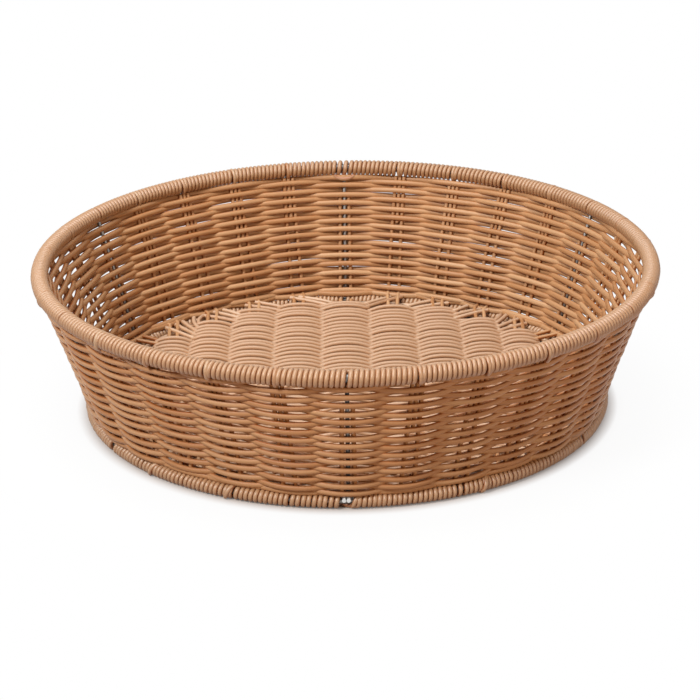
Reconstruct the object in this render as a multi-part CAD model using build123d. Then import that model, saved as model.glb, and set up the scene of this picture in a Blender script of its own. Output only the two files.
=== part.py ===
"""Round woven bread basket: a steel wire frame with plastic cane woven, staked and wound on it.

Frame: origin on the floor under the centre of the basket, +Z up, +Y to the back.
Every position round the basket is one of STAKE_COUNT stake places, the first at the back (+Y).
"""

import os
from math import atan2, cos, degrees, pi, sin, sqrt, tan

from build123d import *

# Driving dimensions, in millimetres
RIM_DIAMETER = 400.0  # across the outside of the wound rim
FOOT_DIAMETER = 340.0  # across the outside of the wound foot
HEIGHT = 100.0  # floor to the top of the wound rim
CANE = 2.8  # diameter of the plastic cane
WEAVER_THICKNESS = 2.0  # of a cane in the wall's rows, square to the wall, where it is pulled flat
TOP_WIRE = 5.0  # diameter of the steel wire of the top ring
BASE_WIRE = 3.4  # diameter of the steel wire of the base ring
UPRIGHT_WIRE = 2.5  # diameter of the steel uprights
FOOT_SPREAD = 7.7  # between the two canes of a stake, where they stand on the foot winding
HEAD_SPREAD = 6.7  # between the same two canes, under the rim
RIM_GAP = 1.0  # open band between the top row of the wall and the heads of the stakes
SHORT_STAKE_DROP = 13.0  # how far the canes beside an upright stop below the rim winding
TAIL_LENGTH = 36.0  # length of the stake end that is turned over the top ring and tucked down
BASE_WEAVE_DIAMETER = 282.0  # across the woven part of the base
STICK_DROP = 2.9  # from the top of the foot winding down to the underside of the base sticks
WINDING_SLIT = 3.9  # slit in the rim and foot windings at each stake
WEAVE_FIT = 0.2  # room between a cane and the weave round it
SEAT = 0.1  # room between two pieces that bear on each other

# Counts
STAKE_COUNT = 30
STAKES_PER_UPRIGHT = 5  # every fifth stake stands beside a steel upright
ROW_COUNT = 28  # rows of cane in the wall
LONG_STICK_COUNT = 9  # base sticks that run from front to back
SIDES = 6  # canes, wires and windings are drawn with flat sides, which bear on their seats

# Derived sizes
PITCH = 2 * pi / STAKE_COUNT
CORNER = 1 / cos(pi / SIDES)  # width of a section over its corners, for one across its flats
FACET = PITCH / 2  # rings and windings bend at each stake and midway between two
BEND = 2 / (1 + cos(FACET / 2))  # radius of their bends, for a mean radius of one
MIDWAY = BEND * cos(FACET / 2)  # distance of their flat sides, for the same mean radius
RIM_TUBE = TOP_WIRE + 2 * CANE
FOOT_TUBE = BASE_WIRE + 2 * CANE
RIM_RADIUS = (RIM_DIAMETER - RIM_TUBE * CORNER) / 2  # of the top ring's centre line
FOOT_RADIUS = (FOOT_DIAMETER - FOOT_TUBE * CORNER) / 2  # of the base ring's centre line
RIM_Z = HEIGHT - RIM_TUBE / 2
FOOT_Z = FOOT_TUBE / 2
STICK_Z = FOOT_TUBE - STICK_DROP + CANE / 2  # base sticks end on the inner slope of the foot winding
STAKE_LOW = FOOT_TUBE + SEAT  # stakes stand on the foot winding
STAKE_HIGH = HEIGHT - RIM_TUBE - SEAT  # and reach up to the rim winding
ROW_PITCH = (STAKE_HIGH - RIM_GAP - STAKE_LOW) / ROW_COUNT
LEAN = atan2(RIM_RADIUS - FOOT_RADIUS, RIM_Z - FOOT_Z)  # of the wall, from the vertical
HALF_WEAVE = 1.5 * CANE  # a weaver each side of a base stick, from the stick's axis
HALF_CROSSING = CANE / 2  # where weavers cross, midway between two sticks


def radius_at(z):
    """Distance of the wall's stake axes from the basket's axis at height z."""
    return FOOT_RADIUS + (z - FOOT_Z) * tan(LEAN)


def place_angle(place):
    """Angle of a stake place from +X."""
    return pi / 2 - place * PITCH


def on_wall(place, z, aside=0.0):
    """Point on the stake axes' cone at a stake place, moved aside along the tangent."""
    angle, r = place_angle(place), radius_at(z)
    return Vector(r * cos(angle) - aside * sin(angle), r * sin(angle) + aside * cos(angle), z)


def section_corners(across, stretch=1.0):
    """Corners of a cane, wire or winding with flats towards its own +Y and -Y, stretched along Y."""
    corner = across / 2 * CORNER
    turns = [pi / 2 + (side + 0.5) * 2 * pi / SIDES for side in range(SIDES)]
    return [(corner * cos(turn), corner * sin(turn) * stretch) for turn in turns]


def section(across, stretch=1.0):
    return Polygon(*section_corners(across, stretch), align=None)


def slanted_bar(foot, head, across):
    """Straight cane or wire from foot to head with level ends, its flats square to the wall."""
    axis = head - foot
    tangent = Vector(axis.Y, -axis.X, 0).normalized()
    level = Plane(origin=foot, x_dir=tangent, z_dir=(0, 0, 1))
    end = level * section(across, stretch=1 / cos(LEAN))
    return extrude(end, amount=axis.length, dir=axis.normalized())


def level_bar(start, end, across):
    """Straight level cane with square ends."""
    run = end - start
    square = Plane(origin=start, x_dir=(-run.Y, run.X, 0), z_dir=run.normalized())
    return extrude(square * section(across), amount=run.length)


def outline(distances, z):
    """Level outline with its corners at these distances from the basket's axis, evenly round it."""
    places = [STAKE_COUNT * i / len(distances) for i in range(len(distances))]
    angles = [place_angle(place) for place in places]
    return [Vector(r * cos(angle), r * sin(angle), z) for r, angle in zip(distances, angles)]


def flat_sides(one, other):
    """Flat faces between two like-sided outlines."""
    after, beside = one[1:] + one[:1], other[1:] + other[:1]
    return [Face(Wire.make_polygon(corners)) for corners in zip(one, after, beside, other)]


def ring(radius, z, across):
    """Level wire ring."""
    outlines = []
    for out, up in section_corners(across):
        outlines.append(outline([radius * BEND + out / cos(FACET / 2)] * 2 * STAKE_COUNT, z + up))
    faces = []
    for one, other in zip(outlines, outlines[1:] + outlines[:1]):
        faces += flat_sides(one, other)
    return Solid(Shell(faces))


def winding(radius, z, bore):
    """Cane wound on a ring: one run between each two stakes, with a slit at every stake."""
    turns = section(bore + 2 * CANE) - Rectangle(bore * CORNER + 2 * SEAT, bore + 2 * SEAT)
    length = 2 * radius * BEND * sin(FACET / 2)
    bar = extrude(Plane.XZ * Pos(radius * MIDWAY, z) * turns, amount=length, both=True)
    half = Rot(Z=degrees(FACET / 2)) * Pos(Y=-(length + WINDING_SLIT) / 2) * bar
    half &= Pos(radius, length, z) * Box(radius, 2 * length, 2 * (bore + 2 * CANE))
    run = half + mirror(half, about=Plane.XZ)
    angles = [place_angle(place + 0.5) for place in range(STAKE_COUNT)]
    return Compound(children=[Rot(Z=degrees(angle)) * run for angle in angles])


def has_upright(place):
    return place % STAKES_PER_UPRIGHT == 0


def upright(place):
    """Steel wire between the two rings."""
    foot = on_wall(place, FOOT_Z + BASE_WIRE / 2 + SEAT)
    head = on_wall(place, RIM_Z - TOP_WIRE / 2 - SEAT)
    return slanted_bar(foot, head, UPRIGHT_WIRE)


def spread_at(z):
    """Distance between the two canes of a stake at height z."""
    return FOOT_SPREAD + (HEAD_SPREAD - FOOT_SPREAD) * (z - STAKE_LOW) / (STAKE_HIGH - STAKE_LOW)


def stake(place):
    """Two canes from foot to rim, and the tucked end that was turned over the top ring."""
    high = STAKE_HIGH - SHORT_STAKE_DROP if has_upright(place) else STAKE_HIGH
    canes = []
    for side in (-1, 1):
        foot = on_wall(place, STAKE_LOW, side * spread_at(STAKE_LOW) / 2)
        head = on_wall(place, high, side * spread_at(high) / 2)
        canes.append(slanted_bar(foot, head, CANE))
    if not has_upright(place):
        top = RIM_Z - TOP_WIRE / 2 - SEAT
        canes.append(slanted_bar(on_wall(place, top - TAIL_LENGTH), on_wall(place, top), CANE))
    return Compound(children=canes)


def stick_end(place, side, along):
    """Where a base stick's cane, beside a stake place, meets the inner slope of the foot winding."""
    spot = on_wall(place, STICK_Z, side * FOOT_SPREAD / 2)
    underside = STICK_Z - CANE / 2
    winding_half = FOOT_TUBE / 2 * CORNER - (underside - FOOT_Z) * tan(pi / SIDES)
    flat_half = CANE / 2 * tan(pi / SIDES)
    limit = FOOT_RADIUS * MIDWAY - winding_half - SEAT * CORNER
    rooms = []
    for turn in (place * PITCH - FACET / 2, place * PITCH + FACET / 2):
        outward = Vector(sin(turn), cos(turn), 0)  # square to the winding's side there
        short = limit - outward.dot(spot) - flat_half * outward.cross(along).length
        rooms.append(short / outward.dot(along))
    return spot + along * min(rooms)


def long_stick_places():
    """Stake places along the back that a front-to-back stick reaches, left to right."""
    half = LONG_STICK_COUNT // 2
    return range(-half, half + 1)


def side_stick_places():
    """Stake places on the right-hand side that no long stick reaches."""
    half = LONG_STICK_COUNT // 2
    return range(half + 1, STAKE_COUNT // 2 - half)


def base_stick(place):
    """Two canes from the front of the foot winding to its back."""
    canes = []
    for side in (-1, 1):
        back = stick_end(place, side, Vector(0, 1, 0))
        canes.append(level_bar(Vector(back.X, -back.Y, back.Z), back, CANE))
    return Compound(children=canes)


def last_stick_outside():
    """X of the outer side of the outermost long stick."""
    place = long_stick_places()[-1]
    return on_wall(place, STICK_Z, -FOOT_SPREAD / 2).X + CANE / 2 * CORNER


def side_stick(place):
    """Two canes from the outermost long stick to the foot winding on the right-hand side."""
    canes = []
    for side in (-1, 1):
        end = stick_end(place, side, Vector(1, 0, 0))
        start = Vector(last_stick_outside() + SEAT, end.Y, end.Z)
        canes.append(level_bar(start, end, CANE))
    return canes


def side_sticks(turn):
    """The side sticks of one side: the right-hand ones, turned about the basket's axis."""
    canes = [cane for place in side_stick_places() for cane in side_stick(place)]
    return Compound(children=[Rot(Z=turn) * cane for cane in canes])


def row_swings(z):
    """How far a row's middle swings out of and into the wall at the stakes, square to the wall.

    The row runs straight from one stake to the next, so it must stand off each stake's axis far
    enough to clear the nearer canes of the pair, also where the ring of stakes curves away from it.
    """
    space = 2 * radius_at(z) * sin(PITCH / 2)
    share = (spread_at(z) + CANE * tan(pi / SIDES)) / 2 / space  # of the space, to the cane's far edge
    clear = (CANE + WEAVER_THICKNESS) / 2 + WEAVE_FIT
    curve = radius_at(z) * (1 - cos(PITCH)) * cos(LEAN)
    both = 2 * clear / (1 - 2 * share)
    return clear + share * (both + curve), clear + share * (both - curve)


def row(number):
    """One row of the wall: a cane that passes outside one stake and inside the next, all the way round."""
    low = STAKE_LOW + number * ROW_PITCH
    high = low + ROW_PITCH - SEAT
    middle = (low + high) / 2
    outer_swing, inner_swing = row_swings(middle)

    def face(z, side):
        distances = []
        for place in range(STAKE_COUNT):
            swing = outer_swing if (place + number) % 2 == 0 else -inner_swing
            out = (swing + side * WEAVER_THICKNESS / 2) / cos(LEAN)
            distances.append((radius_at(middle) + out) * radius_at(z) / radius_at(middle))
        return outline(distances, z)

    faces = flat_sides(face(low, 1), face(high, 1)) + flat_sides(face(low, -1), face(high, -1))
    for z in (low, high):
        faces.append(Face(Wire.make_polygon(face(z, 1)), [Wire.make_polygon(face(z, -1))]))
    return Solid(Shell(faces))


def wall_weave():
    """The woven wall, row upon row."""
    return Compound(children=[row(number) for number in range(ROW_COUNT)])


def base_weave():
    """The woven base: a swelling column over each long stick, as far as the weave reaches."""
    sticks = [on_wall(place, STICK_Z).X for place in long_stick_places()]
    valleys = [on_wall(place - 0.5, STICK_Z).X for place in long_stick_places()]
    valleys.append(last_stick_outside() + WEAVE_FIT + CANE)
    valleys[0] = -valleys[-1]
    columns = []
    for x, left, right in zip(sticks, valleys, valleys[1:]):
        shoulders = [(left, 0.0), ((left + x) / 2, 0.75), (x, 1.0), ((x + right) / 2, 0.75), (right, 0.0)]
        top = [(at, HALF_CROSSING + (HALF_WEAVE - HALF_CROSSING) * swell) for at, swell in shoulders]
        under = [(at, -height) for at, height in reversed(top)]
        profile = Plane.XZ * Pos(Y=STICK_Z) * Polygon(*top, *under, align=None)
        reach = sqrt((BASE_WEAVE_DIAMETER / 2) ** 2 - x**2)
        columns.append(extrude(profile, amount=reach, both=True))
    cane_room, height = CANE * CORNER + 2 * WEAVE_FIT, CANE + 2 * WEAVE_FIT
    rooms = []
    for place, x in zip(long_stick_places(), sticks):
        width = FOOT_SPREAD * cos(place * PITCH) + cane_room
        rooms.append(Pos(x, 0, STICK_Z) * Box(width, FOOT_DIAMETER, height))
    for place in side_stick_places():
        spot = on_wall(place, STICK_Z)
        width = FOOT_SPREAD * sin(place * PITCH) + cane_room
        length = FOOT_RADIUS - last_stick_outside()
        for side in (1, -1):
            middle = side * (last_stick_outside() + length / 2)
            rooms.append(Pos(middle, spot.Y, STICK_Z) * Box(length, width, height))
    return columns[0] + columns[1:] - rooms


def build():
    """All pieces by node name."""
    pieces = {
        "top_ring": ring(RIM_RADIUS, RIM_Z, TOP_WIRE),
        "base_ring": ring(FOOT_RADIUS, FOOT_Z, BASE_WIRE),
        "rim_winding": winding(RIM_RADIUS, RIM_Z, TOP_WIRE),
        "foot_winding": winding(FOOT_RADIUS, FOOT_Z, BASE_WIRE),
        "wall_weave": wall_weave(),
        "base_weave": base_weave(),
        "side_sticks_right": side_sticks(0),
        "side_sticks_left": side_sticks(180),
    }
    for number, place in enumerate(long_stick_places(), start=1):
        pieces[f"base_stick_{number}"] = base_stick(place)
    for place in range(STAKE_COUNT):
        pieces[f"stake_{place + 1:02d}"] = stake(place)
        if has_upright(place):
            pieces[f"upright_{place // STAKES_PER_UPRIGHT + 1}"] = upright(place)
    return pieces


os.makedirs("parts", exist_ok=True)
for node, piece in build().items():
    export_step(piece, f"parts/{node}.step")
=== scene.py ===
# %% [markdown]
# # A round woven basket
# The basket is plastic cane on a frame of steel wire. The imported model gives every piece its place;
# this lesson gives each piece its real form and finish. It starts by loading that model as a fixed
# frame and keeping its parts, whose boxes give the measures below.

# %% Load the frame
import random
from math import atan2, ceil, cos, degrees, pi, radians, sin, tanh

import bpy
from mathutils import Matrix, Vector


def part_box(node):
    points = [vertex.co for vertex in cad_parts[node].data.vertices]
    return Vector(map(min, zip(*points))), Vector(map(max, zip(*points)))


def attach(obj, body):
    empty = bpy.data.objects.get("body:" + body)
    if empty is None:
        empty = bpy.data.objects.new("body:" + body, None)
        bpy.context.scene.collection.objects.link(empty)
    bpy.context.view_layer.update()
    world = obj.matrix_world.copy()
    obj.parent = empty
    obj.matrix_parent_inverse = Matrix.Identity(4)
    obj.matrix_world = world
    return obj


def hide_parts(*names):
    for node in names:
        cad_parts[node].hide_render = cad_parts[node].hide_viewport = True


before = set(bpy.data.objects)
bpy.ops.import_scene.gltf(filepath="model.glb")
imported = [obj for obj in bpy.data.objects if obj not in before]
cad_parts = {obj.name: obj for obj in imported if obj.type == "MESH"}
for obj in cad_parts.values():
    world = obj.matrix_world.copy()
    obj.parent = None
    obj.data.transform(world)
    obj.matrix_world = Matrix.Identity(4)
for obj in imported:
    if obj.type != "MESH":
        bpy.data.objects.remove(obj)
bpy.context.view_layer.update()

# %% [markdown]
# ## The basket's own measures
# All sizes below are millimetres, because that is how a basket maker would give them; MM turns them
# into Blender's metres. The places of the rings could be typed in again; read from the frame, they
# can't drift apart from it. The winding's solid has six sides with a corner outwards, so its centre
# line lies in by half the tube over the cosine of 30°.

# %% Measures from the frame
MM = 0.001
PLACES = 30  # stakes round the wall
PLACES_PER_UPRIGHT = 5
HEX_CORNER = 1 / cos(radians(30))
CANE = 2.8  # stakes and sticks
WEAVER = 3.05  # the softer cane that is woven and wound
BEND_RISE = 1.5  # canes that bend in over the foot winding lie this far above it


def tube_centre(node):
    """Radius and height of a winding's centre line, and its thickness, in millimetres."""
    low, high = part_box(node)
    tube = (high[2] - low[2]) / MM
    return high[0] / MM - tube / 2 * HEX_CORNER, (low[2] + high[2]) / 2 / MM, tube


RIM_R, RIM_Z, RIM_TUBE = tube_centre("rim_winding")
FOOT_R, FOOT_Z, FOOT_TUBE = tube_centre("foot_winding")
STICK_Z = sum(corner[2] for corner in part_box("base_stick_5")) / 2 / MM
BEND_Z = FOOT_TUBE + BEND_RISE
LEAN = atan2(RIM_R - FOOT_R, RIM_Z - FOOT_Z)
print(f"rim r {RIM_R:.1f} z {RIM_Z:.1f}, foot r {FOOT_R:.1f}, lean {degrees(LEAN):.1f} degrees")

# %% [markdown]
# ## The wall's surface
# Thirty stake places go round the basket, counted clockwise from the back as seen from above. Six of
# them have a steel upright, which keeps the wall straight. Between two uprights only cane holds the
# wall, so the weaving pulls it in a little, most at a third of its height. A guide mesh could be
# drawn and every cane snapped to it; a formula is exact at any point and is easier to change. The
# helper below gives any point on that surface, moved out from it or aside along it.

# %% Points on the wall
WAIST = 5.5  # how far the wall is pulled in between two uprights
WAIST_RISE = 0.65  # under 1 puts the waist in the lower half


def place_angle(place):
    return pi / 2 - place * 2 * pi / PLACES


def on_circle(radius, angle, z):
    return Vector((radius * cos(angle), radius * sin(angle), z))


def waist_at(place, z):
    """How far the weaving has pulled the wall in."""
    share = min(max((z - FOOT_Z) / (RIM_Z - FOOT_Z), 0.0), 1.0)
    between = sin(pi * (place % PLACES_PER_UPRIGHT) / PLACES_PER_UPRIGHT) ** 2
    return WAIST * between * sin(pi * share**WAIST_RISE)


def on_wall(place, z, out=0.0, aside=0.0):
    """Point of the wall at a stake place and height, moved square to the wall and along it."""
    angle = place_angle(place)
    share = (z - FOOT_Z) / (RIM_Z - FOOT_Z)
    r = FOOT_R + share * (RIM_R - FOOT_R) - waist_at(place, z) + out * cos(LEAN)
    x = r * cos(angle) - aside * sin(angle)
    y = r * sin(angle) + aside * cos(angle)
    return Vector((x, y, z - out * sin(LEAN)))


def smooth(t):
    """Eased step from 0 to 1."""
    t = min(max(t, 0.0), 1.0)
    return t * t * (3 - 2 * t)


def ease(low, high, share):
    """From one value to another, eased at both ends."""
    return low + (high - low) * smooth(share)


def shares(steps):
    """Even steps from 0 to 1."""
    return [step / steps for step in range(steps + 1)]


print("wall at half height:", [round(v, 1) for v in on_wall(2.5, 50)])

# %% [markdown]
# ## Nodes for the finishes
# A finish is a small tree of nodes, each a sum, a mixture or a pattern. By hand they are placed and
# wired in the node editor. In code the same few lines would come again for every node, so each kind
# that is used often has a helper, which takes a plain value or another node's output alike.

# %% Helpers for nodes
def join(tree, start, end):
    tree.links.new(start, end)


def give(tree, slot, value):
    """Sets a node's input to a value, or wires another node's output to it."""
    if isinstance(value, (int, float, tuple)):
        slot.default_value = value
    else:
        join(tree, value, slot)


def math_node(tree, operation, first, second):
    node = tree.nodes.new("ShaderNodeMath")
    node.operation = operation
    give(tree, node.inputs[0], first)
    give(tree, node.inputs[1], second)
    return node.outputs["Value"]


def colour_mix(tree, share, first, second):
    node = tree.nodes.new("ShaderNodeMix")
    node.data_type = "RGBA"
    give(tree, node.inputs["Factor"], share)
    give(tree, node.inputs["A"], first)
    give(tree, node.inputs["B"], second)
    return node.outputs["Result"]


def attribute(tree, name):
    """The value that a mesh carries at each of its points."""
    node = tree.nodes.new("ShaderNodeAttribute")
    node.attribute_name = name
    return node.outputs["Fac"]


def stretched_noise(tree, source, scale, detail):
    """Noise on coordinates scaled by hand, so that its grain can be long and thin."""
    mapping = tree.nodes.new("ShaderNodeMapping")
    mapping.inputs["Scale"].default_value = scale
    join(tree, source, mapping.inputs["Vector"])
    noise = tree.nodes.new("ShaderNodeTexNoise")
    noise.inputs["Scale"].default_value = 1.0
    noise.inputs["Detail"].default_value = detail
    join(tree, mapping.outputs["Vector"], noise.inputs["Vector"])
    return noise.outputs["Fac"]


print("node types of Blender", bpy.app.version_string)

# %% [markdown]
# ## The cane's finish
# The cane is extruded plastic made to look like rattan: honey brown, a little lighter and darker
# from strand to strand, with fine fibres along its length and a satin surface. Every strand carries
# a UV map in metres, U round the cane and V along it, so fibres can follow a strand wherever it
# bends, and two attributes: tone, a random value of the strand's own, and crest, which is 1 where the
# skin faces out of the weave and 0 where it is turned to its neighbours. The skin in the grooves is
# painted a deeper, darker brown, a painted shade between the canes; the crests keep the cane's own
# colour. A picture of rattan could be wrapped on, but it would repeat; noise that is drawn out along
# V never does. One node group makes the pattern, and each material gives it its own colours.

# %% A node group for cane skin
FIBRE_GRAIN = (1500.0, 70.0, 1.0)  # fibres in a metre, round the cane and along it
DRIFT_GRAIN = (40.0, 14.0, 1.0)  # broad changes of colour in a metre
FIBRE_WEIGHT, DRIFT_WEIGHT = 0.55, 0.9
PATTERN_SHIFT = 7.0  # moves the pattern from strand to strand
# Painted shade: skin with a low crest value takes the darker groove colour.
CREST_FROM, CREST_TO = 0.05, 0.85  # where the groove's colour ends and the crest's begins
SATIN, SATIN_SPAN = 0.36, 0.16  # roughness
SKIN_SOCKETS = (
    ("Dark", "INPUT", "Color"), ("Light", "INPUT", "Color"), ("Groove Shade", "INPUT", "Color"),
    ("Strand", "INPUT", "Float"), ("Color", "OUTPUT", "Color"), ("Roughness", "OUTPUT", "Float"),
    ("Fibre", "OUTPUT", "Float"),
)


def cane_skin_group():
    group = bpy.data.node_groups.new("cane_skin", "ShaderNodeTree")
    for name, way, kind in SKIN_SOCKETS:
        group.interface.new_socket(name=name, in_out=way, socket_type=f"NodeSocket{kind}")
    given = group.nodes.new("NodeGroupInput").outputs
    made = group.nodes.new("NodeGroupOutput").inputs
    uv = group.nodes.new("ShaderNodeUVMap")
    uv.uv_map = "UVMap"
    tone = attribute(group, "tone")
    apart = group.nodes.new("ShaderNodeCombineXYZ")
    join(group, math_node(group, "MULTIPLY", tone, PATTERN_SHIFT), apart.inputs["Z"])
    place = group.nodes.new("ShaderNodeVectorMath")
    place.operation = "ADD"
    join(group, uv.outputs["UV"], place.inputs[0])
    join(group, apart.outputs["Vector"], place.inputs[1])
    fibre = stretched_noise(group, place.outputs["Vector"], FIBRE_GRAIN, detail=3.0)
    drift = stretched_noise(group, place.outputs["Vector"], DRIFT_GRAIN, detail=2.0)
    share = 0.5
    for value, weight in ((fibre, FIBRE_WEIGHT), (drift, DRIFT_WEIGHT), (tone, given["Strand"])):
        part = math_node(group, "MULTIPLY", math_node(group, "SUBTRACT", value, 0.5), weight)
        share = math_node(group, "ADD", share, part)
    clamp = group.nodes.new("ShaderNodeClamp")
    join(group, share, clamp.inputs["Value"])
    skin = colour_mix(group, clamp.outputs["Result"], given["Dark"], given["Light"])
    # Painted shade: the crest value mixes the darker groove colour into skin turned to its neighbours.
    out_of_shade = group.nodes.new("ShaderNodeMapRange")
    out_of_shade.interpolation_type = "SMOOTHSTEP"
    out_of_shade.inputs["From Min"].default_value = CREST_FROM
    out_of_shade.inputs["From Max"].default_value = CREST_TO
    join(group, attribute(group, "crest"), out_of_shade.inputs["Value"])
    join(group, colour_mix(group, out_of_shade.outputs["Result"], given["Groove Shade"], skin), made["Color"])
    rough = math_node(group, "ADD", SATIN, math_node(group, "MULTIPLY", fibre, SATIN_SPAN))
    join(group, rough, made["Roughness"])
    join(group, fibre, made["Fibre"])
    return group


CANE_SKIN = cane_skin_group()
print("group:", CANE_SKIN.name, "nodes:", len(CANE_SKIN.nodes))

# %% [markdown]
# Three materials of the same cane show on the basket. In the wall it is deep in colour. On the rim and
# foot its light tone is paler and greyer, a painted sheen as if the rim shone whiter, and the base is
# painted palest, as light from above falls on its top. One material with a mask could hold all three;
# three materials that share the group are easier to set.

# %% Cane materials
FIBRE_DEPTH = 0.15 * MM
FIBRE_STRENGTH = 0.25


def srgb(red, green, blue):
    """Linear colour of a written 0 to 255 colour."""

    def linear(value):
        value /= 255
        return value / 12.92 if value <= 0.04045 else ((value + 0.055) / 1.055) ** 2.4

    return (linear(red), linear(green), linear(blue), 1.0)


def new_material(name):
    """A material with its node tree and its Principled shader."""
    material = bpy.data.materials.new(name)
    material.use_nodes = True
    tree = material.node_tree
    return material, tree, tree.nodes["Principled BSDF"]


def cane_material(name, groove_shade, dark, light, strand, specular):
    """A finish of the cane; strand says how much tone counts, specular how much it shines."""
    material, tree, shader = new_material(name)
    shader.inputs["Specular IOR Level"].default_value = specular
    skin = tree.nodes.new("ShaderNodeGroup")
    skin.node_tree = CANE_SKIN
    for socket, value in (("Groove Shade", groove_shade), ("Dark", dark), ("Light", light), ("Strand", strand)):
        skin.inputs[socket].default_value = value
    bump = tree.nodes.new("ShaderNodeBump")
    bump.inputs["Strength"].default_value = FIBRE_STRENGTH
    bump.inputs["Distance"].default_value = FIBRE_DEPTH
    join(tree, skin.outputs["Color"], shader.inputs["Base Color"])
    join(tree, skin.outputs["Roughness"], shader.inputs["Roughness"])
    join(tree, skin.outputs["Fibre"], bump.inputs["Height"])
    join(tree, bump.outputs["Normal"], shader.inputs["Normal"])
    return material


# Painted shade: the groove colours darken skin turned to its neighbours, as shade between canes.
GROOVE_SHADE = srgb(158, 85, 27)
DARK = srgb(166, 107, 56)
LIGHT = srgb(216, 177, 135)
# Painted sheen: the wound cane's light tone is paler and greyer than the wall's, as if it shone whiter.
PAINTED_SHEEN_LIGHT = srgb(194, 166, 132)
# Painted light: the base's colours are paler than the wall's, as its top is lit from above.
BASE_GROOVE_SHADE, TOP_LIT_BASE_DARK, TOP_LIT_BASE_LIGHT = srgb(195, 147, 106), srgb(174, 129, 93), srgb(229, 202, 174)
WOVEN_CANE = cane_material("woven_cane", GROOVE_SHADE, DARK, LIGHT, strand=0.5, specular=0.33)
WOUND_CANE = cane_material("wound_cane", GROOVE_SHADE, DARK, PAINTED_SHEEN_LIGHT, strand=0.3, specular=1.0)
BASE_CANE = cane_material("base_cane", BASE_GROOVE_SHADE, TOP_LIT_BASE_DARK, TOP_LIT_BASE_LIGHT, strand=0.4, specular=0.4)
print("materials:", WOVEN_CANE.name, WOUND_CANE.name, BASE_CANE.name)

# %% [markdown]
# ## The steel's finish
# The wires are plain drawn steel: grey, with duller patches. The bare hooks at the front of the foot
# get a brighter copy of the same steel, painted light where the front catches the lamps. An even grey
# would look too new, so one soft noise mixes two greys and changes the roughness with them.

# %% Steel material
PATCH_GRAIN = (180.0, 180.0, 180.0)  # patches in a metre
DRAWN_ROUGH, DRAWN_SPAN = 0.35, 0.25  # roughness


def steel_material(name, dark, light):
    material, tree, shader = new_material(name)
    shader.inputs["Metallic"].default_value = 1.0
    coords = tree.nodes.new("ShaderNodeTexCoord")
    patch = stretched_noise(tree, coords.outputs["Object"], PATCH_GRAIN, detail=4.0)
    join(tree, colour_mix(tree, patch, dark, light), shader.inputs["Base Color"])
    rough = math_node(tree, "ADD", DRAWN_ROUGH, math_node(tree, "MULTIPLY", patch, DRAWN_SPAN))
    join(tree, rough, shader.inputs["Roughness"])
    return material


STEEL = steel_material("drawn_steel", srgb(84, 80, 76), srgb(160, 155, 150))
# Painted light: the same steel in brighter greys, for the bare hooks at the front.
PAINTED_LIT_STEEL = steel_material("painted_lit_steel", srgb(170, 168, 166), srgb(232, 230, 228))
print("materials:", STEEL.name, PAINTED_LIT_STEEL.name)

# %% [markdown]
# ## Drawing a cane
# A cane is a round bar that follows a path. A circle could be extruded along it step by step; a curve
# with a round bevel does the same at once, and is then turned into a mesh. The path is a list of
# close points worked out from the weave's own rule. The mesh keeps the curve's UV map, stretched here
# to metres.

# %% Helper for canes
TONES = random.Random(41)
SIDES = 8  # corners of a strand's section


def deselect():
    bpy.ops.object.select_all(action="DESELECT")


def activate(obj):
    deselect()
    bpy.context.view_layer.objects.active = obj
    obj.select_set(True)


def strand(name, points, diameter, sides=SIDES):
    """One cane along a list of points in millimetres, as a mesh with UVs in metres and a tone."""
    curve = bpy.data.curves.new(name, "CURVE")
    curve.dimensions = "3D"
    curve.bevel_depth = diameter / 2 * MM
    curve.bevel_resolution = (sides - 4) // 2
    curve.use_fill_caps = True
    spline = curve.splines.new("POLY")
    spline.points.add(len(points) - 1)
    spline.points.foreach_set("co", [value for p in points for value in (p[0] * MM, p[1] * MM, p[2] * MM, 1)])
    obj = bpy.data.objects.new(name, curve)
    bpy.context.collection.objects.link(obj)
    activate(obj)
    bpy.ops.object.convert(target="MESH")
    mesh = obj.data
    length = sum((Vector(b) - Vector(a)).length for a, b in zip(points, points[1:])) * MM
    layer = mesh.uv_layers[0]
    values = [0.0] * (2 * len(layer.data))
    layer.data.foreach_get("uv", values)
    values[0::2] = [u * pi * diameter * MM for u in values[0::2]]
    values[1::2] = [v * length for v in values[1::2]]
    layer.data.foreach_set("uv", values)
    tone = mesh.attributes.new("tone", "FLOAT", "POINT")
    tone.data.foreach_set("value", [TONES.random()] * len(mesh.vertices))
    bpy.ops.object.shade_smooth_by_angle(angle=radians(60))
    return obj


print("a cane has", SIDES, "sides")

# %% [markdown]
# ## From strands to a piece
# Strands of one piece are joined into one object at the origin, which rides on the basket and stands
# for the solid that it shows in full. Skin that faces out of the weave is marked as crest. Shade in
# the grooves could be baked instead, but a direction is exact and takes no time: for the wall it is
# square to it, and other pieces are given their own.

# %% Helpers for pieces
def facing_wall(point):
    """The direction square to the wall."""
    level = Vector((point.x, point.y, 0)).normalized() * cos(LEAN)
    return level - Vector((0, 0, sin(LEAN)))


def mark_crests(mesh, facing):
    """How squarely each point of the skin faces out of the weave, on either side of it."""
    crest = mesh.attributes.new("crest", "FLOAT", "POINT")
    crest.data.foreach_set("value", [abs(vertex.normal.dot(facing(vertex.co))) for vertex in mesh.vertices])


def finish_piece(name, objects, material, slot, *nodes, facing=None):
    """Joins strands into one piece that stands for its nodes."""
    deselect()
    for obj in objects:
        obj.select_set(True)
    bpy.context.view_layer.objects.active = objects[0]
    if len(objects) > 1:
        bpy.ops.object.join()
    piece = objects[0]
    piece.name = name
    piece.data.name = name
    piece.data.materials.clear()
    piece.data.materials.append(material)
    if facing:
        mark_crests(piece.data, facing)
    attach(piece, "root")
    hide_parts(*nodes)
    return piece


def triangles(piece):
    return sum(len(face.vertices) - 2 for face in piece.data.polygons)


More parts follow.
